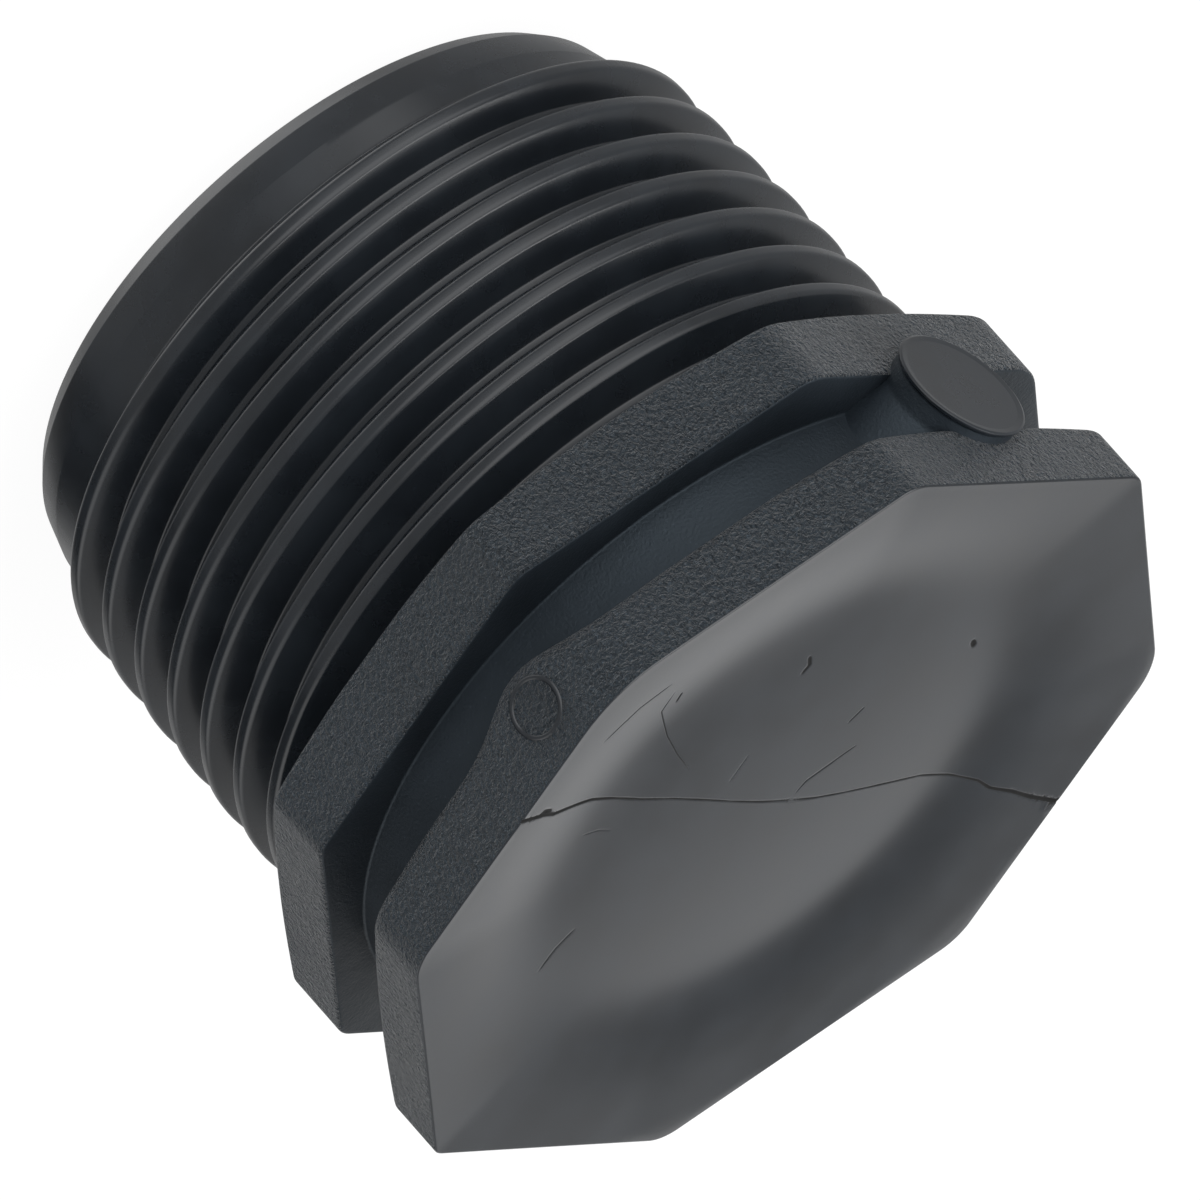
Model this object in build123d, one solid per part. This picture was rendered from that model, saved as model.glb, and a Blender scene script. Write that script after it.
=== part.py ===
from build123d import *
from math import ceil, cos, pi, radians, sin, tan
import os

# Threaded blanking plug, moulded in one piece, standing on its tail rim.
# Own frame: millimetres, +Z up to the head, origin on the axis in the plane of the tail rim.
# The flat with the gate post faces -X.

# Driving sizes
across_flats = 36.0
rear_across_flats = 35.5
flat_count = 8
front_flange_h = 3.3
groove_w = 3.35
rear_flange_h = 3.5
drum_r = 16.05
shank_length = 20.85

gauge_major_dia = 33.249
pitch = 2.309
taper_on_dia = 1.0 / 16.0
flank_half_angle = 27.5
thread_depth = 1.38
crest_w = 0.55
gauge_from_tail = 14.8
crest_relief = 0.4
relief_reach = 15.0
thread_start_from_tail = 3.4
thread_phase = -118.0
crest_from_tail_at_phase = 4.72
fade_turns = 0.3
points_per_turn = 12
turns_per_piece = 0.5

pilot_step = 0.4
pilot_below_start = 1.75
tail_chamfer_h = 0.55
tail_chamfer_w = 0.8

bore_mouth_r = 12.2
bore_draft = 1.0
end_wall = 4.6
bore_end_chamfer = 1.2
mouth_chamfer = 0.4

dish_depth = 0.55
dish_floor_part = 0.52
dish_rim_part = 0.90

corner_round = 0.55
rear_corner_round = 1.1
rim_chamfer = 0.15
back_cone_drop = 0.38

gate_r = 2.93
gate_proud = 0.65
gate_foot = 0.45

# Derived sizes
apothem = across_flats / 2
rear_apothem = rear_across_flats / 2
head_h = front_flange_h + groove_w + rear_flange_h
plug_length = shank_length + head_h
rear_top = shank_length + rear_flange_h
groove_top = rear_top + groove_w
bore_depth = plug_length - end_wall
slope = taper_on_dia / 2
groove_mid = rear_top + groove_w / 2


def gauge_cone_r(z):
    return gauge_major_dia / 2 + slope * (z - gauge_from_tail)


def major_r(z):
    # The crests fall away a little more than the taper does over the first turns.
    short = max(0.0, 1 - z / relief_reach)
    return gauge_cone_r(z) - crest_relief * short**2


def root_r(z):
    return gauge_cone_r(z) - thread_depth


pilot_top = thread_start_from_tail - pilot_below_start
pilot_r = root_r(pilot_top) - pilot_step


def octagon(z, height, flat_r, round_r):
    flat = Plane.XY.offset(z) * RegularPolygon(flat_r, flat_count, major_radius=False, rotation=180 / flat_count)
    prism = extrude(flat, height)
    return fillet(prism.edges().filter_by(Axis.Z), round_r)


def turned(points):
    return revolve(Plane.XZ * make_face(Polyline(*points, close=True)), Axis.Z, 360)


def flange(z, height, flat_r, round_r):
    # An octagonal plate whose back edge is bowed by a flat cone, as on a nut, and whose front rim is chamfered.
    plate = octagon(z, height, flat_r, round_r)
    run = flat_r / cos(pi / flat_count) - flat_r
    r_far = flat_r + 2 * run
    drop_far = 2 * back_cone_drop
    plate = plate & turned([(0, z), (flat_r, z), (r_far, z + drop_far), (r_far, z + height), (0, z + height)])
    rims = plate.edges().filter_by(lambda e: e.center().Z > z + height - 0.01)
    return chamfer(rims, rim_chamfer)


def ridge_point(t, offset, radius_of):
    # A point on one edge of the thread ridge, t turns from its start; offset is along the axis.
    z = ridge_start + pitch * t
    a = radians(ridge_angle + 360 * t)
    r = radius_of(z, t)
    return Vector(r * cos(a), r * sin(a), z + offset)


def ridge_edge(t_from, t_to, offset, radius_of):
    steps = max(3, round((t_to - t_from) * points_per_turn))
    points = [ridge_point(t_from + (t_to - t_from) * i / steps, offset, radius_of) for i in range(steps + 1)]
    tangents = []
    for t in (t_from, t_to):
        ahead = ridge_point(t + 0.001, offset, radius_of)
        behind = ridge_point(t - 0.001, offset, radius_of)
        tangents.append((ahead - behind).normalized())
    return Spline(*points, tangents=tangents, tangent_scalars=[1, 1]).edge()


# Thread ridge: it rises out of the core at the tail end and runs into the back of the rear flange.
turns_down = (crest_from_tail_at_phase - thread_start_from_tail) / pitch
ridge_start = thread_start_from_tail
ridge_angle = thread_phase - 360 * turns_down
ridge_end = shank_length + 0.45 * rear_flange_h
ridge_turns = (ridge_end - ridge_start) / pitch
crest_half = crest_w / 2
sunk = 0.25
base_half = crest_half + (thread_depth + sunk) * tan(radians(flank_half_angle))


def ramp(t):
    s = min(max(t / fade_turns, 0.0), 1.0)
    return s * s * (3 - 2 * s)


def crest_line(z, t):
    low = root_r(z) - 0.12
    return low + (major_r(z) - low) * ramp(t)


def base_line(z, t):
    return root_r(z) - sunk


def ridge_piece(t_from, t_to):
    ring = [
        ridge_edge(t_from, t_to, -base_half, base_line),
        ridge_edge(t_from, t_to, -crest_half, crest_line),
        ridge_edge(t_from, t_to, crest_half, crest_line),
        ridge_edge(t_from, t_to, base_half, base_line),
    ]
    sides = [Face.make_surface_from_curves(ring[i], ring[i - 3]) for i in range(4)]
    caps = [make_face(Polyline(*[edge @ end for edge in ring], close=True)).face() for end in (0, 1)]
    return Solid(Shell(sides + caps))


piece_count = ceil(ridge_turns / turns_per_piece)
stops = [ridge_turns * i / piece_count for i in range(piece_count + 1)]
ridge = [ridge_piece(stops[i], stops[i + 1]) for i in range(piece_count)]

# Turned shank with its pilot, the ridge fused to it, then the head
shank_top = ridge_end + 0.6
shank = turned([
    (0, 0),
    (pilot_r - tail_chamfer_w, 0),
    (pilot_r, tail_chamfer_h),
    (pilot_r, pilot_top),
    (root_r(pilot_top), pilot_top + pilot_step),
    (root_r(shank_top), shank_top),
    (0, shank_top),
])
threaded = shank.fuse(*ridge)
if not threaded.is_valid or threaded.volume < 1.04 * shank.volume:
    raise ValueError("the thread did not join the shank")
drum = Pos(0, 0, shank_length + 0.3) * Cylinder(
    drum_r, head_h - 1.5, align=(Align.CENTER, Align.CENTER, Align.MIN)
)
rear_flange = flange(shank_length, rear_flange_h, rear_apothem, rear_corner_round)
front_flange = flange(groove_top, front_flange_h, apothem, corner_round)
head = drum + rear_flange + front_flange
body = head + threaded

# Gate post across the groove
post_base = apothem + gate_proud
post_length = post_base - drum_r + 0.8
post = Plane((-post_base, 0, groove_mid), x_dir=(0, 1, 0), z_dir=(1, 0, 0)) * Cone(
    gate_r, gate_r + gate_foot, post_length, align=(Align.CENTER, Align.CENTER, Align.MIN)
)
body = body + post

# Shallow sink of the face
dish_rim = dish_rim_part * apothem
dish_floor = dish_floor_part * apothem
floor_z = plug_length - dish_depth
above_z = plug_length + 0.5
dish = turned([
    (0, floor_z),
    (dish_floor, floor_z),
    (dish_rim, plug_length),
    (dish_rim, above_z),
    (0, above_z),
])
body = body - dish

# Cored hollow, open at the tail
bore_end_r = bore_mouth_r - tan(radians(bore_draft)) * bore_depth
hollow = turned([
    (0, -0.5),
    (bore_mouth_r + mouth_chamfer + 0.5, -0.5),
    (bore_mouth_r, mouth_chamfer),
    (bore_end_r, bore_depth - bore_end_chamfer),
    (bore_end_r - bore_end_chamfer, bore_depth),
    (0, bore_depth),
])
body = body - hollow

plug = body.solids().sort_by(SortBy.VOLUME)[-1]
plug.label = "blanking_plug"

os.makedirs("parts", exist_ok=True)
export_step(plug, "parts/blanking_plug.step")
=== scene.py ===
import math

import bpy
import numpy as np
from mathutils import Matrix, Vector


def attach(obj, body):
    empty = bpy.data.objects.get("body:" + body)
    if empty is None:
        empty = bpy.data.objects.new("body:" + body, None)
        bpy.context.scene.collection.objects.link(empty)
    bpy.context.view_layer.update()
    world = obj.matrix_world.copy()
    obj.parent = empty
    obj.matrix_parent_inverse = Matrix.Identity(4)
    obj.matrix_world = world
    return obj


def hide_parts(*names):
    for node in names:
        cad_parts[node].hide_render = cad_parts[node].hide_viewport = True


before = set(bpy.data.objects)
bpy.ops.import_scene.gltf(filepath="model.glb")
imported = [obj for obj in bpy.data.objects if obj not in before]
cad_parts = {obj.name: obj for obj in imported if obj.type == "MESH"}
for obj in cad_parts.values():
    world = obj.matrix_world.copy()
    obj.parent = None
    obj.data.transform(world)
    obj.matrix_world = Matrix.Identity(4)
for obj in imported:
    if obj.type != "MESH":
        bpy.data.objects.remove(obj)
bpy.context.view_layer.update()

bl_info = {
    "name": "Threaded blanking plug",
    "version": (1, 0, 0),
    "blender": (4, 5, 0),
    "location": "View3D > Sidebar > Plug",
    "description": "Builds a moulded taper-thread blanking plug with an octagonal head, and its studio",
    "category": "Object",
}

MM = 0.001
TAU = 2.0 * math.pi
FLAT_COUNT = 8

# Fixed places on the moulding, in millimetres from the tail rim
SHANK_LENGTH = 20.85
REAR_FLANGE_TOP = 24.35
GROOVE_TOP = 27.7
HEAD_TOP = 31.0
THREAD_START = 3.4
THREAD_LOW_RING = 2.2
THREAD_HIGH_RING = 21.6
GAUGE_PLANE = 14.8

# Thread: flank angle in degrees, roundings and fall of the first crests in millimetres, and its turns
FLANK_ANGLE = 27.5
ROOT_ROUND = 0.12
CREST_ROUND = 0.27
CREST_RELIEF = 0.4
RELIEF_REACH = 15.0
THREAD_PHASE_TURNS = -323.8 / 360.0
TURNS_BEFORE_START = 2.0
TURNS_IN_ALL = 11
COLUMNS_PER_TURN = 176

# Lead-in, tail rim and hollow, in millimetres and degrees
PILOT_PLANE = 1.65
PILOT_STEP = 0.4
TAIL_CHAMFER_WIDTH = 0.57
TAIL_CHAMFER_HEIGHT = 0.76
MOUTH_CHAMFER = 0.4
BORE_DRAFT = 1.0
BORE_END_CHAMFER = 1.2
BORE_END_FLAT = 2.5
SHANK_INSIDE_HEAD = 27.0

# Head, in millimetres and degrees
FIRST_CORNER = -22.5
CORNER_ZONE = 3.4
STEPS_ALONG_FLAT = 20
BACK_CONE_DROP = 0.38
FACE_RINGS = 44
FACE_EDGE_ROUND = 0.11
FACE_ROUND_WITHIN = 0.35
FACE_OCTAGON_FROM = 0.95
SIDE_ROWS = 5
INNER_RADIUS = 13.5
SINK_CENTRE = (-0.95, -1.75)
SINK_LEVEL_AT = 18.0
RIM_BLEND_FROM = 0.55

# The front flange swells round the ejector mark
SWELL_AZIMUTH = 256.0
SWELL_SPREAD = 8.5
SWELL_DEPTH = 1.05
SWELL_HEIGHT = 1.8
SWELL_ROOT = 26.5

# Gate post and ejector mark
GATE_COLUMNS = 96
GATE_DISC_REACH = 0.25
MARK_RADIUS = 1.2
MARK_WIRE = 0.13
MARK_SUNK = 0.07
MARK_X = -4.3
MARK_Z = 28.55


def length(name, description, default_mm):
    return bpy.props.FloatProperty(
        name=name, description=description, default=default_mm * MM, min=0.0,
        subtype="DISTANCE", unit="LENGTH", precision=5,
    )


def share(name, description, default):
    return bpy.props.FloatProperty(
        name=name, description=description, default=default, min=0.0, max=1.0, subtype="FACTOR",
    )


def colour(name, description, default):
    return bpy.props.FloatVectorProperty(
        name=name, description=description, default=default, size=4, min=0.0, max=1.0, subtype="COLOR",
    )


class PLUG_PG_sizes(bpy.types.PropertyGroup):
    across_flats: length("Across flats", "Front flange, measured over two flats", 36.0)
    rear_across_flats: length("Rear across flats", "Rear flange, measured over two flats", 35.5)
    drum_radius: length("Groove radius", "Radius of the drum at the bottom of the groove", 16.05)
    gauge_diameter: length("Gauge diameter", "Major diameter of the thread in its gauge plane", 33.249)
    pitch: length("Pitch", "Distance from one thread crest to the next", 2.309)
    thread_depth: length("Thread depth", "From crest to root", 1.38)
    crest_width: length("Crest width", "Flat on top of the thread", 0.55)
    taper: bpy.props.FloatProperty(
        name="Taper", description="Growth of the diameter per unit of length", default=1.0 / 16.0,
        min=0.0, max=0.2,
    )
    fade_turns: bpy.props.FloatProperty(
        name="Run-in", description="Turns over which the thread rises at the tail", default=0.3,
        min=0.05, max=1.0,
    )
    bore_radius: length("Bore radius", "Radius of the hollow at the tail", 12.2)
    bore_depth: length("Bore depth", "Depth of the hollow from the tail rim", 26.4)
    dish_depth: length("Dish depth", "How far the ring of the face has sunk", 0.62)
    gate_radius: length("Gate radius", "Radius of the gate post's cut disc", 2.93)
    gate_proud: length("Gate height", "How far the gate post stands over the flat", 0.65)


class PLUG_PG_finish(bpy.types.PropertyGroup):
    plastic: colour("Plastic", "Colour of the filled black plastic", (0.0105, 0.0135, 0.0175, 1.0))
    face_roughness: share("Face roughness", "Gloss of the face", 0.22)
    flat_roughness: share("Flat roughness", "Gloss of the pitted flats", 0.29)
    thread_roughness: share("Thread roughness", "Gloss of the thread and lead-in", 0.27)
    pit_depth: length("Pit depth", "Depth of the pits on the flats", 0.55)


class PLUG_PG_studio(bpy.types.PropertyGroup):
    floor_tone: share("Floor tone", "Grey level of the floor", 0.78)
    world_strength: bpy.props.FloatProperty(
        name="Sky", description="Strength of the even light from all sides", default=0.5, min=0.0, max=5.0,
    )
    lens: bpy.props.FloatProperty(
        name="Lens", description="Focal length of the camera in millimetres", default=1481.45, min=1.0,
        max=5000.0,
    )


def sizes():
    return bpy.context.scene.plug_sizes


def finish():
    return bpy.context.scene.plug_finish


def studio():
    return bpy.context.scene.plug_studio


# Mesh helpers

def deselect():
    if bpy.context.object is not None and bpy.context.object.mode != "OBJECT":
        bpy.ops.object.mode_set(mode="OBJECT")
    bpy.ops.object.select_all(action="DESELECT")


def make_active(obj):
    deselect()
    obj.select_set(True)
    bpy.context.view_layer.objects.active = obj


def get_points(obj):
    co = np.empty(len(obj.data.vertices) * 3, dtype=np.float64)
    obj.data.vertices.foreach_get("co", co)
    return co.reshape(-1, 3)


def set_points(obj, co):
    obj.data.vertices.foreach_set("co", np.asarray(co, dtype=np.float64).ravel())
    obj.data.update()


def edit(obj, select="SELECT"):
    make_active(obj)
    bpy.ops.object.mode_set(mode="EDIT")
    bpy.ops.mesh.select_mode(type="VERT")
    bpy.ops.mesh.select_all(action=select)


def leave_edit():
    bpy.ops.object.mode_set(mode="OBJECT")


def skin(name, across, along, place):
    """A grid, added at its place and carried row by row and column by column to a curved wall."""
    deselect()
    bpy.ops.mesh.primitive_grid_add(x_subdivisions=across, y_subdivisions=along, size=1.0, location=(0, 0, 0))
    obj = bpy.context.active_object
    obj.name = name
    obj.data.name = name
    co = get_points(obj)
    column = np.rint((co[:, 0] + 0.5) * across).astype(int)
    row = np.rint((co[:, 1] + 0.5) * along).astype(int)
    x, y, z = place(column, row)
    set_points(obj, np.stack([x, y, z], axis=1) * MM)
    return obj


def joined(name, parts):
    deselect()
    for part in parts:
        part.select_set(True)
    bpy.context.view_layer.objects.active = parts[0]
    bpy.ops.object.join()
    obj = bpy.context.active_object
    obj.name = name
    obj.data.name = name
    return obj


def weld(obj, gap_mm=0.002):
    edit(obj)
    bpy.ops.mesh.remove_doubles(threshold=gap_mm * MM)
    bpy.ops.mesh.dissolve_degenerate(threshold=0.0005 * MM)
    bpy.ops.mesh.select_all(action="SELECT")
    bpy.ops.mesh.normals_make_consistent(inside=False)
    leave_edit()


def smooth(obj, angle):
    make_active(obj)
    bpy.ops.object.shade_smooth_by_angle(angle=math.radians(angle))


def soft_profile(corners, steps=4):
    """A line through corners (a, b, radius), each rounded to its radius, as a list of points."""
    points = []
    last = len(corners) - 1
    for i, (a, b, radius) in enumerate(corners):
        here = np.array([a, b], dtype=float)
        if i in (0, last) or radius <= 0:
            points.append(here)
            continue
        before = np.array(corners[i - 1][:2], dtype=float) - here
        after = np.array(corners[i + 1][:2], dtype=float) - here
        u = before / np.linalg.norm(before)
        v = after / np.linalg.norm(after)
        half = 0.5 * math.acos(max(-1.0, min(1.0, float(u @ v))))
        reach = radius / math.tan(half)
        middle = (u + v) / np.linalg.norm(u + v)
        centre = here + middle * radius / math.sin(half)
        start = here + u * reach - centre
        end = here + v * reach - centre
        a0 = math.atan2(start[1], start[0])
        turn = math.atan2(end[1], end[0]) - a0
        turn = (turn + math.pi) % TAU - math.pi
        for k in range(steps + 1):
            w = a0 + turn * k / steps
            points.append(centre + radius * np.array([math.cos(w), math.sin(w)]))
    return np.array(points)


def ease(x):
    x = np.clip(x, 0.0, 1.0)
    return x * x * (3.0 - 2.0 * x)


# Shank: thread, lead-in and hollow

def gauge_cone(z):
    s = sizes()
    return s.gauge_diameter / MM / 2.0 + 0.5 * s.taper * (z - GAUGE_PLANE)


def crest_radius(z):
    short = np.maximum(0.0, 1.0 - z / RELIEF_REACH)
    return gauge_cone(z) - CREST_RELIEF * short ** 2


def root_radius(z):
    return gauge_cone(z) - sizes().thread_depth / MM


def thread_wall():
    """The outer wall with its thread: the profile of one pitch, carried along the helix."""
    s = sizes()
    pitch = s.pitch / MM
    depth = s.thread_depth / MM
    crest = 0.5 * s.crest_width / MM
    base = crest + depth * math.tan(math.radians(FLANK_ANGLE))
    half = 0.5 * pitch
    profile = soft_profile([
        (-half, 0.0, 0.0), (-base, 0.0, ROOT_ROUND), (-crest, depth, CREST_ROUND),
        (crest, depth, CREST_ROUND), (base, 0.0, ROOT_ROUND), (half, 0.0, 0.0),
    ], steps=6)
    points = []
    for a, b in zip(profile, profile[1:]):
        points.append(a)
        on_flank = abs(b[1] - a[1]) > 0.3 * depth
        if on_flank:
            points.extend([a + (b - a) / 3.0, a + (b - a) * 2.0 / 3.0])
    points.append(profile[-1])
    profile = np.array(points)
    start = math.floor((THREAD_PHASE_TURNS - TURNS_BEFORE_START) * COLUMNS_PER_TURN)

    def place(column, row):
        angle = TAU * (start + column) / COLUMNS_PER_TURN
        t = (start + column) / COLUMNS_PER_TURN - THREAD_PHASE_TURNS
        middle = THREAD_START + pitch * t
        height = profile[row, 1]
        z = middle + profile[row, 0]
        rise = ease(t / s.fade_turns) * (crest_radius(middle) - root_radius(middle)) / depth
        z = np.clip(z, THREAD_LOW_RING, THREAD_HIGH_RING)
        lift = np.where((z >= THREAD_HIGH_RING) | (z <= THREAD_LOW_RING), 0.0, height * rise)
        r = root_radius(z) + lift
        return r * np.cos(angle), r * np.sin(angle), z

    return skin("thread_wall", TURNS_IN_ALL * COLUMNS_PER_TURN, len(profile) - 1, place)


def turned_wall(name, profile):
    """A wall of revolution round the axis, through the points (radius, height) of a profile."""
    def place(column, row):
        angle = TAU * column / COLUMNS_PER_TURN
        r = profile[row, 0]
        return r * np.cos(angle), r * np.sin(angle), profile[row, 1]
    return skin(name, COLUMNS_PER_TURN, len(profile) - 1, place)


def build_shank():
    s = sizes()
    mouth = s.bore_radius / MM
    depth = s.bore_depth / MM
    end = mouth - math.tan(math.radians(BORE_DRAFT)) * depth
    pilot = float(root_radius(PILOT_PLANE)) - PILOT_STEP
    inner = soft_profile([
        (float(root_radius(THREAD_LOW_RING)), THREAD_LOW_RING, 0.0),
        (pilot, TAIL_CHAMFER_HEIGHT, 0.2),
        (pilot - TAIL_CHAMFER_WIDTH, 0.0, 0.14),
        (mouth + MOUTH_CHAMFER, 0.0, 0.08),
        (mouth, MOUTH_CHAMFER, 0.08),
        (0.5 * (mouth + end), 0.5 * depth, 0.0),
        (end, depth - BORE_END_CHAMFER, 0.6),
        (end - BORE_END_CHAMFER, depth, 0.6),
        (BORE_END_FLAT, depth, 0.0),
        (0.0, depth, 0.0),
    ], steps=7)
    # The top of the shank is out of sight inside the head
    outer = soft_profile([
        (float(root_radius(THREAD_HIGH_RING)), THREAD_HIGH_RING, 0.0),
        (15.2, 22.2, 0.0), (15.2, SHANK_INSIDE_HEAD, 0.0), (8.0, SHANK_INSIDE_HEAD, 0.0),
        (0.0, SHANK_INSIDE_HEAD, 0.0),
    ])
    shank = joined("plug_shank", [
        thread_wall(), turned_wall("lead_in_and_hollow", inner), turned_wall("shank_top", outer),
    ])
    weld(shank)
    smooth(shank, 40)
    return shank


# Head: two octagonal flanges, groove and face

def head_angles():
    """Column angles: close together at the eight corners, even along the flats."""
    step = 360.0 / FLAT_COUNT
    half_corner = [0.5, 1.0, 1.5, 1.9, 2.3, 2.8, CORNER_ZONE]
    corner = [-c for c in reversed(half_corner)] + [0.0] + half_corner
    flat = step - 2.0 * CORNER_ZONE
    along = [CORNER_ZONE + flat * k / STEPS_ALONG_FLAT for k in range(1, STEPS_ALONG_FLAT)]
    angles = []
    for n in range(FLAT_COUNT):
        base = FIRST_CORNER + step * n
        angles.extend(base + c for c in corner)
        angles.extend(base + a for a in along)
    angles.append(FIRST_CORNER + 360.0 - CORNER_ZONE)
    return np.radians(np.array(angles))


# Corner rounding of the two flanges in millimetres, counted round from FIRST_CORNER
FRONT_CORNERS = (0.9, 2.0, 2.2, 3.4, 1.5, 1.8, 5.6, 2.4)
REAR_CORNERS = (1.4, 1.6, 1.8, 2.2, 3.2, 2.0, 1.3, 1.3)


def corner_rounding(angle, corners):
    """The radius of the corner nearest to each angle, which holds to the middles of its two flats."""
    turn = (np.degrees(angle) % 360.0) / (360.0 / FLAT_COUNT)
    return np.take(np.array(corners), np.floor(turn + 1.0).astype(int) % FLAT_COUNT)


def octagon_radius(angle, apothem, corner_round):
    """Distance from the axis to the side of an octagon with rounded corners."""
    half = math.pi / FLAT_COUNT
    off = np.abs((angle + half) % (2.0 * half) - half)
    flat = apothem / np.cos(off)
    centre = (apothem - corner_round) / math.cos(half)
    psi = half - off
    inside = np.maximum(corner_round ** 2 - (centre * np.sin(psi)) ** 2, 0.0)
    rounded = centre * np.cos(psi) + np.sqrt(inside)
    edge_at = np.arctan((apothem - corner_round) * math.tan(half) / apothem)
    return np.where(off > edge_at, rounded, flat)


# Slope of the sunk face against the distance from the middle of the sink, in millimetres, and how many
# samples up to SINK_END it is read at and smoothed over
SINK_REACH = (0.0, 3.0, 6.0, 9.0, 10.6, 11.6, 12.7, 14.0, 15.5, 17.5, 19.8)
SINK_SLOPE = (0.0, -0.008, -0.018, -0.026, -0.020, 0.025, 0.075, 0.086, 0.062, 0.040, 0.028)
SINK_END = 20.0
SINK_SAMPLES = 401
SINK_SMOOTHING = 25


def sink_height(rho):
    """Height of the sunk face against the distance from the middle of the sink, from its slope."""
    steps = np.linspace(0.0, SINK_END, SINK_SAMPLES)
    slope = np.interp(steps, SINK_REACH, SINK_SLOPE)
    padded = np.pad(slope, SINK_SMOOTHING // 2, mode="edge")
    slope = np.convolve(padded, np.ones(SINK_SMOOTHING) / SINK_SMOOTHING, mode="valid")
    height = np.concatenate([[0.0], np.cumsum(0.5 * (slope[1:] + slope[:-1]) * np.diff(steps))])
    deepest = height.max() - height.min()
    return np.interp(rho, steps, height) * (sizes().dish_depth / MM) / deepest


def sink(x, y):
    """The uneven sink of the face: a ring sunk over the thick wall, its middle slightly crowned."""
    apothem = sizes().across_flats / MM / 2.0
    angle = np.arctan2(y, x)
    edge = octagon_radius(angle, apothem, corner_rounding(angle, FRONT_CORNERS))
    reach = np.clip(np.hypot(x, y) / edge, 0.0, 1.0)
    cx, cy = SINK_CENTRE
    rho = np.hypot(x - cx, y - cy)
    rho_edge = np.hypot(edge * np.cos(angle) - cx, edge * np.sin(angle) - cy)
    level = sink_height(SINK_LEVEL_AT)
    rim = sink_height(rho_edge) - level
    return sink_height(rho) - level - rim * ease((reach - RIM_BLEND_FROM) / (1.0 - RIM_BLEND_FROM))


KNIT_LINE = [
    (-0.05, 17.9), (-0.3, 16.0), (-0.6, 14.5), (-0.75, 13.0), (-1.1, 12.0), (-1.35, 10.0), (-1.4, 8.0),
    (-1.2, 6.5), (-1.0, 5.0), (-0.75, 3.0), (-0.6, 1.5), (-0.55, 0.0), (-0.55, -2.0), (-0.65, -4.0),
    (-0.8, -6.0), (-0.9, -8.0), (-0.9, -10.0), (-1.0, -12.0), (-1.0, -13.4), (-0.8, -14.5),
    (-0.55, -15.7), (-0.62, -16.5), (-0.45, -17.9),
]
FACE_MARKS = [
    # (points, half width, depth), all in millimetres
    ([(-8.75, 5.0), (-8.5, 5.3)], 0.16, 0.062),
    ([(-8.35, -5.55), (-7.95, -5.2), (-7.5, -5.3)], 0.12, 0.0434),
    ([(-3.4, 1.8), (-2.3, 0.75), (-1.6, 0.1), (-0.95, -0.05)], 0.06, 0.0186),
    ([(-5.5, 0.5), (-4.7, 0.15)], 0.07, 0.0155),
    ([(6.2, -8.15), (7.3, -8.45), (8.5, -8.5)], 0.10, 0.0124),
    ([(-6.8, -13.1), (-5.7, -12.95), (-4.3, -11.3), (-3.3, -9.8), (-2.5, -8.4)], 0.05, 0.01364),
    ([(-6.7, -12.5), (-6.2, -12.4)], 0.08, 0.0217),
    ([(0.75, -10.6), (0.75, -11.4), (1.0, -12.2)], 0.05, 0.00992),
    ([(-7.4, -13.9), (-6.2, -15.0), (-4.4, -15.9)], 0.06, 0.01364),
    ([(-3.2, -5.1), (-1.7, -5.1)], 0.06, 0.00744),
]

# Knit line, in millimetres: half width and depth at its middle, and what its two ends add
KNIT_WIDTH = 0.075
KNIT_DEPTH = 0.019
KNIT_END_GAIN = 0.055

# The pit where the knit line ends at the rim: middle, half widths and depth
KNIT_PIT = (-0.72, -16.5)
KNIT_PIT_REACH = (0.22, 0.5)
KNIT_PIT_DEPTH = 0.09


def distance_to_line(x, y, line):
    """Distance to a line of points, how far along it the nearest place is, and its whole length."""
    best = np.full(x.shape, 1e9)
    along = np.zeros(x.shape)
    walked = 0.0
    for (ax, ay), (bx, by) in zip(line, line[1:]):
        dx, dy = bx - ax, by - ay
        span = math.hypot(dx, dy)
        t = np.clip(((x - ax) * dx + (y - ay) * dy) / (span * span), 0.0, 1.0)
        d = np.hypot(x - ax - t * dx, y - ay - t * dy)
        nearer = d < best
        best = np.where(nearer, d, best)
        along = np.where(nearer, walked + t * span, along)
        walked += span
    return best, along, walked


def face_cuts(x, y):
    """Depth of the knit line and of the scratches at a point of the face."""
    cut = np.zeros(x.shape)
    d, along, total = distance_to_line(x, y, KNIT_LINE)
    share_along = along / total
    ends = np.abs(share_along - 0.5) * 2.0
    width = KNIT_WIDTH + KNIT_END_GAIN * ease((ends - 0.55) / 0.4)
    depth = KNIT_DEPTH + KNIT_END_GAIN * ease((ends - 0.5) / 0.45)
    # The line is cut more and less deep along its way
    depth = depth * (1.0 + 0.35 * np.sin(along * 2.9) * np.sin(along * 1.3 + 1.0))
    cut = np.maximum(cut, depth * (1.0 - ease(d / width)))
    pit = np.hypot((x - KNIT_PIT[0]) / KNIT_PIT_REACH[0], (y - KNIT_PIT[1]) / KNIT_PIT_REACH[1])
    cut = np.maximum(cut, KNIT_PIT_DEPTH * (1.0 - ease(pit)))
    for line, width, depth in FACE_MARKS:
        d, along, total = distance_to_line(x, y, line)
        fade = ease(np.minimum(along, total - along) / max(0.25 * total, 0.05) + 0.35)
        cut = np.maximum(cut, depth * fade * (1.0 - ease(d / width)))
    return cut


def near_cuts(x, y, margin):
    """True where a point lies within a margin of the knit line or of a scratch."""
    near = distance_to_line(x, y, KNIT_LINE)[0] < margin + 0.1
    for line, width, _ in FACE_MARKS:
        near |= distance_to_line(x, y, line)[0] < margin + width
    return near


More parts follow.
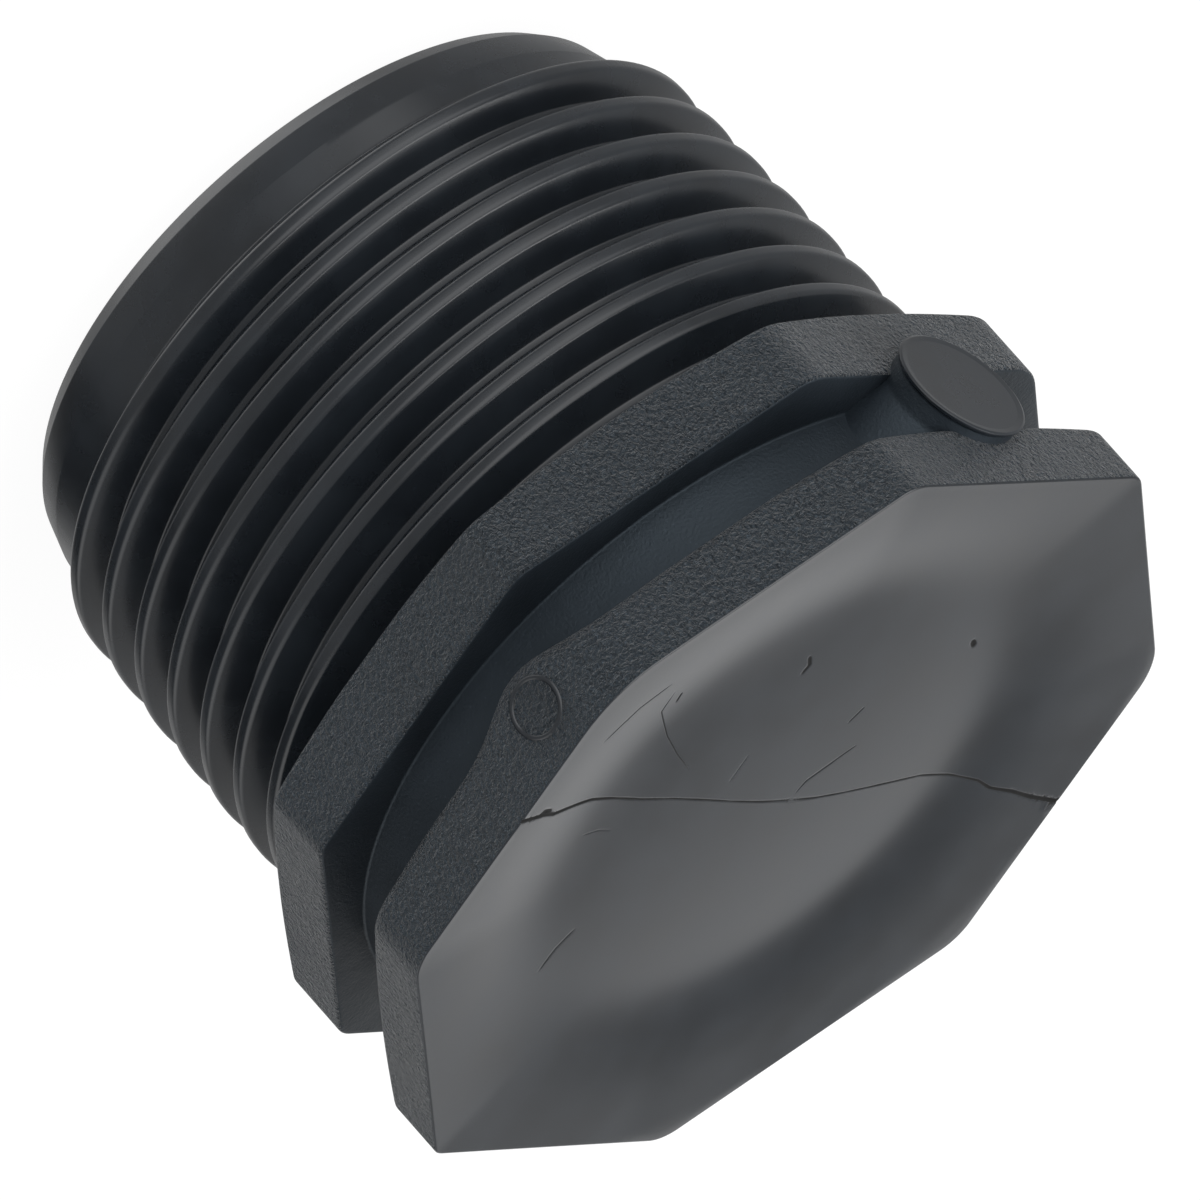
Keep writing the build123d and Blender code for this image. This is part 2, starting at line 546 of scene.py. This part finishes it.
def refine(obj, cuts, chosen):
    """Divides the faces whose middles chosen() picks."""
    mesh = obj.data
    centres = np.empty(len(mesh.polygons) * 3)
    mesh.polygons.foreach_get("center", centres)
    picked = chosen(centres.reshape(-1, 3) / MM)
    edit(obj, "DESELECT")
    bpy.ops.mesh.select_mode(type="FACE")
    leave_edit()
    mesh.polygons.foreach_set("select", picked)
    bpy.ops.object.mode_set(mode="EDIT")
    bpy.ops.mesh.subdivide(number_cuts=cuts, smoothness=0.0, ngon=False, quadcorner="INNERVERT")
    leave_edit()


def side_rows(flat, low, high, which):
    """Rows up the flat side of a flange, between its two rounded edges."""
    step = (high - low) / (SIDE_ROWS + 1)
    return [(flat, low + k * step, 1.0, which) for k in range(1, SIDE_ROWS + 1)]


# Dividing of the face along its cuts: cuts, least distance from the axis, margin round the cuts
FACE_DIVISIONS = ((3, 0.35, 0.25), (1, 3.0, 0.04), (1, 11.5, 0.02))


def head_rows():
    """Rows of the head's wall from the hidden ring up to the face: (reach, height, how octagonal, which)."""
    s = sizes()
    front = s.across_flats / MM / 2.0
    rear = s.rear_across_flats / MM / 2.0
    drum = s.drum_radius / MM
    edge_steps = 5
    rear_rim = soft_profile([
        (drum, SHANK_LENGTH, 0.0), (rear, SHANK_LENGTH, 0.16), (rear, REAR_FLANGE_TOP, 0.20),
        (drum - 0.4, REAR_FLANGE_TOP, 0.0),
    ], steps=edge_steps)
    rear_rows = [(a, z, 1.0 if a > drum + 0.2 else 0.0, "rear") for a, z in rear_rim[1:-1]]
    rear_rows[edge_steps + 1:edge_steps + 1] = side_rows(rear, SHANK_LENGTH, REAR_FLANGE_TOP, "rear")
    groove = soft_profile([
        (drum + 1.0, REAR_FLANGE_TOP, 0.0), (drum, REAR_FLANGE_TOP, 0.12), (drum, GROOVE_TOP, 0.18),
        (drum + 1.0, GROOVE_TOP, 0.0),
    ], steps=edge_steps)
    groove_rows = [(a, z, 0.0, "groove") for a, z in groove[1:-1]]
    edge_steps = 6
    front_rim = soft_profile([
        (drum, GROOVE_TOP, 0.0), (front, GROOVE_TOP, 0.42), (front, HEAD_TOP, FACE_EDGE_ROUND),
        (0.0, HEAD_TOP, 0.0),
    ], steps=edge_steps)
    front_rows = [(a, z, 1.0, "front") for a, z in front_rim[1:-1]]
    front_rows[edge_steps + 1:edge_steps + 1] = side_rows(front, GROOVE_TOP, HEAD_TOP, "front")
    rim = front - FACE_EDGE_ROUND
    parts = [1.0 - k / FACE_RINGS for k in range(1, FACE_RINGS + 1)]
    blend = FACE_OCTAGON_FROM - FACE_ROUND_WITHIN
    face_rows = [
        (rim * part, HEAD_TOP, float(ease((part - FACE_ROUND_WITHIN) / blend)), "face") for part in parts
    ]
    # Inside the rear flange, out of sight
    hidden_rows = [
        (INNER_RADIUS, 26.8, 0.0, "rear"), (INNER_RADIUS, SHANK_LENGTH, 0.0, "rear"),
        (15.0, SHANK_LENGTH, 0.0, "rear"), (16.4, SHANK_LENGTH, 0.6, "rear"),
    ]
    return hidden_rows + rear_rows + groove_rows + front_rows + face_rows


def build_head():
    s = sizes()
    front = s.across_flats / MM / 2.0
    rear = s.rear_across_flats / MM / 2.0
    angles = head_angles()
    rows = head_rows()
    reach = np.array([r[0] for r in rows])
    height = np.array([r[1] for r in rows])
    weight = np.array([r[2] for r in rows])
    kind = np.array([r[3] for r in rows])
    run = 1.0 / math.cos(math.pi / FLAT_COUNT) - 1.0

    def place(column, row):
        angle = angles[column]
        which = kind[row]
        on_rear = which == "rear"
        corner = np.where(
            on_rear, corner_rounding(angle, REAR_CORNERS), corner_rounding(angle, FRONT_CORNERS),
        )
        flat_at = np.where(on_rear, rear, front)
        eight = octagon_radius(angle, flat_at, corner) - flat_at
        r = reach[row] + weight[row] * eight * np.where(which == "face", reach[row] / front, 1.0)
        z = height[row]
        floor_z = np.where(on_rear, SHANK_LENGTH, GROOVE_TOP)
        top_z = np.where(on_rear, REAR_FLANGE_TOP, HEAD_TOP)
        bow = BACK_CONE_DROP * np.clip((r - flat_at) / (flat_at * run), 0.0, 1.0)
        low_share = np.clip(1.0 - (z - floor_z) / (top_z - floor_z), 0.0, 1.0)
        bowed = on_rear | (which == "front")
        z = z + np.where(bowed, bow * low_share * (z >= floor_z), 0.0)
        off = np.degrees(angle) % 360.0 - SWELL_AZIMUTH
        swell = SWELL_DEPTH * np.exp(-(off / SWELL_SPREAD) ** 2)
        low = np.clip(1.0 - (z - GROOVE_TOP) / SWELL_HEIGHT, 0.0, 1.0)
        z = z - np.where(which == "front", swell * low, 0.0)
        under = (which == "groove") & (z > SWELL_ROOT)
        z = z - np.where(under, swell * np.clip(z - SWELL_ROOT, 0.0, 1.0), 0.0)
        return r * np.cos(angle), r * np.sin(angle), z

    head = skin("plug_head", len(angles) - 1, len(rows) - 1, place)
    weld(head)
    for cuts, least, margin in FACE_DIVISIONS:
        def chosen(c):
            on_face = (c[:, 2] > HEAD_TOP - 0.02) & (np.hypot(c[:, 0], c[:, 1]) > least)
            return on_face & near_cuts(c[:, 0], c[:, 1], margin)

        refine(head, cuts, chosen)
    co = get_points(head) / MM
    x, y, z = co[:, 0], co[:, 1], co[:, 2]
    sunk = np.where(z > HEAD_TOP - 0.001, sink(x, y), 0.0)
    cut = np.where(z > HEAD_TOP - 0.3, face_cuts(x, y), 0.0)
    set_points(head, np.stack([x, y, z + sunk - cut], axis=1) * MM)
    # The face's finish is dull where this attribute says that it is cut, and painted shade darkens its colour
    # there
    head.data.attributes.new("cut_depth", "FLOAT", "POINT").data.foreach_set("value", cut)
    edit(head)
    bpy.ops.mesh.normals_make_consistent(inside=False)
    leave_edit()
    smooth(head, 32)
    return head


# Gate post across the groove

def build_gate():
    """The post turned round a line along -X: profile points are (radius, distance from the axis)."""
    s = sizes()
    radius = s.gate_radius / MM
    top = s.across_flats / MM / 2.0 + s.gate_proud / MM
    middle = 0.5 * (REAR_FLANGE_TOP + GROOVE_TOP)
    profile = soft_profile([
        (0.0, top - 0.05, 0.0), (radius - 0.35, top - 0.04, 0.2), (radius - 0.1, top, 0.03),
        (radius, top - 0.05, 0.03), (radius - 0.02, top - 0.17, 0.04), (radius - 0.17, top - 0.31, 0.10),
        (radius - 0.10, top - 1.2, 0.6), (radius + 0.45, top - 2.1, 0.5), (radius + 1.2, top - 3.4, 0.0),
        (0.0, top - 3.4, 0.0),
    ], steps=5)

    def place(column, row):
        angle = TAU * column / GATE_COLUMNS
        r = profile[row, 0]
        return -profile[row, 1], r * np.cos(angle), middle + r * np.sin(angle)

    gate = skin("plug_gate", GATE_COLUMNS, len(profile) - 1, place)
    weld(gate)
    smooth(gate, 35)
    return gate


def build_ejector_mark():
    """The faint round mark of an ejector on one flat."""
    deselect()
    bpy.ops.mesh.primitive_torus_add(
        major_radius=MARK_RADIUS * MM, minor_radius=MARK_WIRE * MM, major_segments=72, minor_segments=12,
        location=(MARK_X * MM, -(sizes().across_flats / 2.0 - MARK_SUNK * MM), MARK_Z * MM),
        rotation=(math.pi / 2.0, 0.0, 0.0),
    )
    ring = bpy.context.active_object
    ring.name = "plug_ejector_mark"
    ring.data.name = "plug_ejector_mark"
    bpy.ops.object.transform_apply(location=True, rotation=True, scale=True)
    bpy.ops.object.shade_smooth()
    return ring


# Finishes

def new_material(name):
    """A material of that name with an empty tree but for its shader and output."""
    fresh = bpy.data.materials.new(name)
    fresh.use_nodes = True
    tree = fresh.node_tree
    tree.nodes.clear()
    output = tree.nodes.new("ShaderNodeOutputMaterial")
    shader = tree.nodes.new("ShaderNodeBsdfPrincipled")
    tree.links.new(shader.outputs["BSDF"], output.inputs["Surface"])
    return tree, shader


def plastic(name, roughness, roughness_spread, grain_scale, grain_depth, painted_glint,
            painted_glint_scale=2600.0, painted_glint_reach=0.16, streak=0.0, pits=0.0, pit_scale=4800.0,
            bloom=0.0, cast=(1.0, 1.0, 1.0), dull_and_shaded_cuts=False):
    """Black filled plastic: fine grain, some streaks of flow, and pits where the mould was eroded.

    bloom lifts the surface where it is seen at a low angle, cast tints its reflection, and the last
    argument makes it dull in the knit line and the scratches, with painted shade darkening its colour there."""
    tree, shader = new_material(name)
    nodes, links = tree.nodes, tree.links
    where = nodes.new("ShaderNodeTexCoord").outputs["Object"]
    tint = finish().plastic

    def noise(vector, scale, detail, roughness=0.5, distortion=0.0):
        node = nodes.new("ShaderNodeTexNoise")
        node.inputs["Scale"].default_value = scale
        node.inputs["Detail"].default_value = detail
        node.inputs["Roughness"].default_value = roughness
        node.inputs["Distortion"].default_value = distortion
        links.new(vector, node.inputs["Vector"])
        return node.outputs["Fac"]

    def bump(height, depth_mm, under=None):
        node = nodes.new("ShaderNodeBump")
        node.inputs["Strength"].default_value = 1.0
        node.inputs["Distance"].default_value = depth_mm * MM
        links.new(height, node.inputs["Height"])
        if under is not None:
            links.new(under, node.inputs["Normal"])
        return node.outputs["Normal"]

    cloud = noise(where, 260.0, 5.0, 0.6)

    shade = nodes.new("ShaderNodeValToRGB")
    for stop, position, gain in zip(shade.color_ramp.elements, (0.35, 0.65), (0.8, 1.2)):
        stop.position = position
        stop.color = (tint[0] * gain, tint[1] * gain, tint[2] * gain, 1.0)
    links.new(cloud, shade.inputs["Fac"])

    # Painted glints: pale specks added to the base colour, standing in for light caught by the pits
    painted_glint_cells = nodes.new("ShaderNodeTexVoronoi")
    painted_glint_cells.inputs["Scale"].default_value = painted_glint_scale
    links.new(where, painted_glint_cells.inputs["Vector"])
    painted_glint_ramp = nodes.new("ShaderNodeValToRGB")
    painted_glint_ramp.color_ramp.elements[0].position = 0.3 * painted_glint_reach
    # The painted glints are as strong as their argument says, in the plastic's own hue
    painted_glint_colour = [1.05 * painted_glint * part / tint[2] for part in tint[:3]]
    painted_glint_ramp.color_ramp.elements[0].color = (*painted_glint_colour, 1.0)
    painted_glint_ramp.color_ramp.elements[1].position = painted_glint_reach
    painted_glint_ramp.color_ramp.elements[1].color = (0.0, 0.0, 0.0, 1.0)
    links.new(painted_glint_cells.outputs["Distance"], painted_glint_ramp.inputs["Fac"])
    add = nodes.new("ShaderNodeMix")
    add.data_type = "RGBA"
    add.blend_type = "ADD"
    add.inputs["Factor"].default_value = 1.0
    links.new(shade.outputs["Color"], add.inputs["A"])
    links.new(painted_glint_ramp.outputs["Color"], add.inputs["B"])
    links.new(add.outputs["Result"], shader.inputs["Base Color"])

    gloss = nodes.new("ShaderNodeMapRange")
    gloss.inputs["From Min"].default_value = 0.3
    gloss.inputs["From Max"].default_value = 0.7
    gloss.inputs["To Min"].default_value = roughness - roughness_spread
    gloss.inputs["To Max"].default_value = roughness + roughness_spread
    links.new(cloud, gloss.inputs["Value"])
    links.new(gloss.outputs["Result"], shader.inputs["Roughness"])

    surface = bump(noise(where, grain_scale, 3.0, 0.65), grain_depth)
    if streak > 0.0:
        stretch = nodes.new("ShaderNodeMapping")
        stretch.inputs["Scale"].default_value = (1.0, 1.0, 0.12)
        links.new(where, stretch.inputs["Vector"])
        surface = bump(noise(stretch.outputs["Vector"], 900.0, 4.0), streak, surface)
    if pits > 0.0:
        surface = bump(noise(where, pit_scale, 2.0, 0.7, 0.6), pits, surface)
    links.new(surface, shader.inputs["Normal"])
    shader.inputs["IOR"].default_value = 1.5
    shader.inputs["Sheen Weight"].default_value = bloom
    shader.inputs["Sheen Roughness"].default_value = 0.22
    shader.inputs["Specular Tint"].default_value = (*cast, 1.0)
    if dull_and_shaded_cuts:
        depth = nodes.new("ShaderNodeAttribute")
        depth.attribute_name = "cut_depth"
        inside = nodes.new("ShaderNodeMapRange")
        inside.inputs["From Min"].default_value = 0.002
        inside.inputs["From Max"].default_value = 0.012
        links.new(depth.outputs["Fac"], inside.inputs["Value"])
        dull = nodes.new("ShaderNodeMix")
        dull.inputs["B"].default_value = 0.9
        links.new(inside.outputs["Result"], dull.inputs["Factor"])
        links.new(gloss.outputs["Result"], dull.inputs["A"])
        links.new(dull.outputs["Result"], shader.inputs["Roughness"])
        # Painted shade: the colour is darkened almost to black in the knit line and the scratches
        painted_cut_shade = nodes.new("ShaderNodeMix")
        painted_cut_shade.data_type = "RGBA"
        painted_cut_shade.inputs["B"].default_value = (0.001, 0.001, 0.001, 1.0)
        links.new(inside.outputs["Result"], painted_cut_shade.inputs["Factor"])
        links.new(add.outputs["Result"], painted_cut_shade.inputs["A"])
        links.new(painted_cut_shade.outputs["Result"], shader.inputs["Base Color"])


# Tint of the reflection on the flats and in the groove
COOL_CAST = (0.65, 0.80, 0.92)


def finishes():
    f = finish()
    plastic("satin_face", f.face_roughness, 0.03, 5200.0, 0.0022, 0.004, dull_and_shaded_cuts=True)
    # The flats take the strongest painted glints
    plastic("pitted_flats", f.flat_roughness, 0.06, 11000.0, 0.045, 0.06, painted_glint_scale=5200.0,
            painted_glint_reach=0.2, pits=f.pit_depth / MM, bloom=0.2, cast=COOL_CAST)
    plastic("satin_thread", f.thread_roughness, 0.05, 3200.0, 0.0016, 0.002, streak=0.004)
    plastic("flow_marked_groove", 0.5, 0.06, 7000.0, 0.03, 0.02, streak=0.02, cast=COOL_CAST)


def material(name):
    """The finish of that name. All finishes are made when the first is asked for."""
    if name not in bpy.data.materials:
        finishes()
    return bpy.data.materials[name]


def dress(obj, names, pick=None):
    """Gives a piece its finishes; pick says which one each face takes, from its middle and normal."""
    obj.data.materials.clear()
    for name in names:
        obj.data.materials.append(material(name))
    if pick is not None:
        mesh = obj.data
        centres = np.empty(len(mesh.polygons) * 3)
        normals = np.empty(len(mesh.polygons) * 3)
        mesh.polygons.foreach_get("center", centres)
        mesh.polygons.foreach_get("normal", normals)
        index = pick(centres.reshape(-1, 3) / MM, normals.reshape(-1, 3))
        mesh.polygons.foreach_set("material_index", index.astype(np.int32))
        mesh.update()


def hand_over(obj):
    deselect()
    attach(obj, "root")
    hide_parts("blanking_plug")


class PLUG_OT_shank(bpy.types.Operator):
    """Adds the hollow shank with its taper thread and plain lead-in"""
    bl_idname = "plug.shank"
    bl_label = "Threaded shank"

    def execute(self, context):
        shank = build_shank()
        dress(shank, ["satin_thread"])
        hand_over(shank)
        return {"FINISHED"}


class PLUG_OT_head(bpy.types.Operator):
    """Adds the head: two octagonal flanges, the groove between them and the sunk face"""
    bl_idname = "plug.head"
    bl_label = "Octagonal head"

    def execute(self, context):
        head = build_head()
        drum = sizes().drum_radius / MM

        def pick(centre, normal):
            r = np.hypot(centre[:, 0], centre[:, 1])
            upward = normal[:, 2] > 0.5
            side = (np.abs(normal[:, 2]) < 0.8) & (r > drum + 0.9)
            face = upward & (centre[:, 2] > HEAD_TOP - 1.2)
            return np.where(face, 0, np.where(side, 1, 2))

        dress(head, ["satin_face", "pitted_flats", "flow_marked_groove"], pick)
        hand_over(head)
        return {"FINISHED"}


class PLUG_OT_gate(bpy.types.Operator):
    """Adds the cut-off gate post in the groove, and the ejector mark on one flat"""
    bl_idname = "plug.gate"
    bl_label = "Gate post"

    def execute(self, context):
        gate = build_gate()
        cut = (sizes().across_flats / 2.0 + sizes().gate_proud) / MM
        dress(gate, ["satin_thread", "flow_marked_groove"],
              lambda centre, normal: np.where(centre[:, 0] < GATE_DISC_REACH - cut, 0, 1))
        hand_over(gate)
        ring = build_ejector_mark()
        dress(ring, ["satin_thread"])
        hand_over(ring)
        return {"FINISHED"}


# Stage

# Floor: side in metres, how far it lies below the tail rim in millimetres, clear of its flat face, and
# how bright and how strong the white is that the camera sees in place of its lit tone
FLOOR_SIZE = 6.0
FLOOR_DROP = 0.03
FLOOR_GLOW = 1.07
FLOOR_GLOW_SHARE = 0.88


def floor_material():
    """White where the camera looks at it, with a little of its lit tone left so that the shadow shows."""
    floor = bpy.data.materials.new("pale_floor")
    floor.use_nodes = True
    tree = floor.node_tree
    tree.nodes.clear()
    output = tree.nodes.new("ShaderNodeOutputMaterial")
    tone = studio().floor_tone
    matt = tree.nodes.new("ShaderNodeBsdfDiffuse")
    matt.inputs["Color"].default_value = (tone, tone, tone, 1.0)
    glow = tree.nodes.new("ShaderNodeEmission")
    glow.inputs["Color"].default_value = (1.0, 1.0, 1.0, 1.0)
    glow.inputs["Strength"].default_value = FLOOR_GLOW
    path = tree.nodes.new("ShaderNodeLightPath")
    seen = tree.nodes.new("ShaderNodeMath")
    seen.operation = "MAXIMUM"
    tree.links.new(path.outputs["Is Camera Ray"], seen.inputs[0])
    tree.links.new(path.outputs["Is Transmission Ray"], seen.inputs[1])
    level = tree.nodes.new("ShaderNodeMath")
    level.operation = "MULTIPLY"
    level.inputs[1].default_value = FLOOR_GLOW_SHARE
    tree.links.new(seen.outputs["Value"], level.inputs[0])
    both = tree.nodes.new("ShaderNodeMixShader")
    tree.links.new(level.outputs["Value"], both.inputs["Fac"])
    tree.links.new(matt.outputs["BSDF"], both.inputs[1])
    tree.links.new(glow.outputs["Emission"], both.inputs[2])
    tree.links.new(both.outputs["Shader"], output.inputs["Surface"])
    return floor


# Brighter and darker patches of the sky: azimuth, elevation, full within, gone beyond (degrees), gain
PANELS = (
    (62.0, 7.5, 13.0, 20.7, 0.60),
    (-170.0, -25.0, 4.0, 15.0, 0.75),
    (-150.0, 12.0, 22.0, 50.0, 1.7),
    (-20.0, 14.0, 14.0, 40.0, 0.9),
    (0.0, -90.0, 14.0, 31.0, 1.1),
)
SHADED = (
    (-12.0, -25.0, 10.0, 36.0, 0.92),
    (62.0, 50.0, 12.0, 26.0, 0.35),
)


def sky(world):
    """An even sky with soft brighter panels and a shaded side, told apart by direction alone."""
    world.use_nodes = True
    tree = world.node_tree
    nodes, links = tree.nodes, tree.links
    back = nodes["Background"]
    where = nodes.new("ShaderNodeTexCoord")

    def patch(azimuth, elevation, inner, outer, gain):
        dot = nodes.new("ShaderNodeVectorMath")
        dot.operation = "DOT_PRODUCT"
        dot.inputs[1].default_value = direction(azimuth, elevation)
        links.new(where.outputs["Generated"], dot.inputs[0])
        fall = nodes.new("ShaderNodeMapRange")
        fall.interpolation_type = "SMOOTHSTEP"
        fall.inputs["From Min"].default_value = math.cos(math.radians(outer))
        fall.inputs["From Max"].default_value = math.cos(math.radians(inner))
        fall.inputs["To Min"].default_value = 0.0
        fall.inputs["To Max"].default_value = gain
        links.new(dot.outputs["Value"], fall.inputs["Value"])
        return fall.outputs["Result"]

    def math_node(operation, a, b):
        node = nodes.new("ShaderNodeMath")
        node.operation = operation
        for slot, value in zip(node.inputs, (a, b)):
            if isinstance(value, float):
                slot.default_value = value
            else:
                links.new(value, slot)
        return node.outputs["Value"]

    level = studio().world_strength
    for panel in PANELS:
        level = math_node("ADD", level, patch(*panel))
    for shade in SHADED:
        level = math_node("MULTIPLY", level, math_node("SUBTRACT", 1.0, patch(*shade)))
    back.inputs["Color"].default_value = (1.0, 1.0, 1.0, 1.0)
    links.new(level, back.inputs["Strength"])
    world.cycles.sampling_method = "NONE"


def direction(azimuth, elevation):
    a, e = math.radians(azimuth), math.radians(elevation)
    return Vector((math.cos(e) * math.cos(a), math.cos(e) * math.sin(a), math.sin(e)))


# Height of the place that the lamp looks at, in metres
LAMP_AIM_HEIGHT = 0.016


def soft_box(name, azimuth, elevation, distance, width, height, power):
    """A rectangular lamp that looks at the middle of the plug; lengths in metres."""
    data = bpy.data.lights.new(name, "AREA")
    data.shape = "RECTANGLE"
    data.size = width
    data.size_y = height
    data.energy = power
    lamp = bpy.data.objects.new(name, data)
    bpy.context.scene.collection.objects.link(lamp)
    way = direction(azimuth, elevation)
    lamp.location = way * distance + Vector((0.0, 0.0, LAMP_AIM_HEIGHT))
    lamp.rotation_euler = way.to_track_quat("Z", "Y").to_euler()


# Camera fitted to the photograph: where it stands, in metres, and its three directions
CAMERA_PLACE = Vector((-0.83002, -1.56863, 0.85883))
CAMERA_RIGHT = Vector((-0.52845, 0.60089, 0.59973))
CAMERA_UP = Vector((-0.73628, 0.02731, -0.67613))
CAMERA_BACK = Vector((-0.42266, -0.79887, 0.42799))


class PLUG_OT_stage(bpy.types.Operator):
    """Adds the floor, the lights and the camera"""
    bl_idname = "plug.stage"
    bl_label = "Studio"

    def execute(self, context):
        scene = context.scene
        deselect()
        bpy.ops.mesh.primitive_plane_add(size=FLOOR_SIZE, location=(0.0, 0.0, -FLOOR_DROP * MM))
        floor = context.active_object
        floor.name = "floor"
        floor.data.name = "floor"
        floor.data.materials.append(floor_material())
        floor.visible_glossy = False

        world = bpy.data.worlds.new("even_sky")
        scene.world = world
        sky(world)

        soft_box("overhead", azimuth=150.0, elevation=72.0, distance=1.6, width=1.2, height=1.2, power=18.0)

        eye = bpy.data.cameras.new("camera")
        camera = bpy.data.objects.new("camera", eye)
        scene.collection.objects.link(camera)
        eye.sensor_width = 36.0
        eye.lens = studio().lens
        eye.clip_start = 0.1
        eye.clip_end = 50.0
        turn = Matrix((CAMERA_RIGHT, CAMERA_UP, CAMERA_BACK)).transposed().to_4x4()
        camera.matrix_world = Matrix.Translation(CAMERA_PLACE) @ turn
        scene.camera = camera
        scene.view_settings.view_transform = "Standard"
        return {"FINISHED"}


class PLUG_PT_panel(bpy.types.Panel):
    bl_idname = "PLUG_PT_panel"
    bl_label = "Blanking plug"
    bl_space_type = "VIEW_3D"
    bl_region_type = "UI"
    bl_category = "Plug"

    def draw(self, context):
        layout = self.layout
        for group in (context.scene.plug_sizes, context.scene.plug_finish, context.scene.plug_studio):
            box = layout.box()
            for key in group.__annotations__:
                box.prop(group, key)
        for operator in OPERATORS:
            layout.operator(operator.bl_idname)


OPERATORS = (PLUG_OT_shank, PLUG_OT_head, PLUG_OT_gate, PLUG_OT_stage)
CLASSES = (PLUG_PG_sizes, PLUG_PG_finish, PLUG_PG_studio) + OPERATORS + (PLUG_PT_panel,)


def register():
    for cls in CLASSES:
        bpy.utils.register_class(cls)
    bpy.types.Scene.plug_sizes = bpy.props.PointerProperty(type=PLUG_PG_sizes)
    bpy.types.Scene.plug_finish = bpy.props.PointerProperty(type=PLUG_PG_finish)
    bpy.types.Scene.plug_studio = bpy.props.PointerProperty(type=PLUG_PG_studio)


def unregister():
    del bpy.types.Scene.plug_studio
    del bpy.types.Scene.plug_finish
    del bpy.types.Scene.plug_sizes
    for cls in reversed(CLASSES):
        bpy.utils.unregister_class(cls)


def main():
    register()
    bpy.ops.plug.stage()
    bpy.ops.plug.shank()
    bpy.ops.plug.head()
    bpy.ops.plug.gate()


if __name__ == "__main__":
    main()
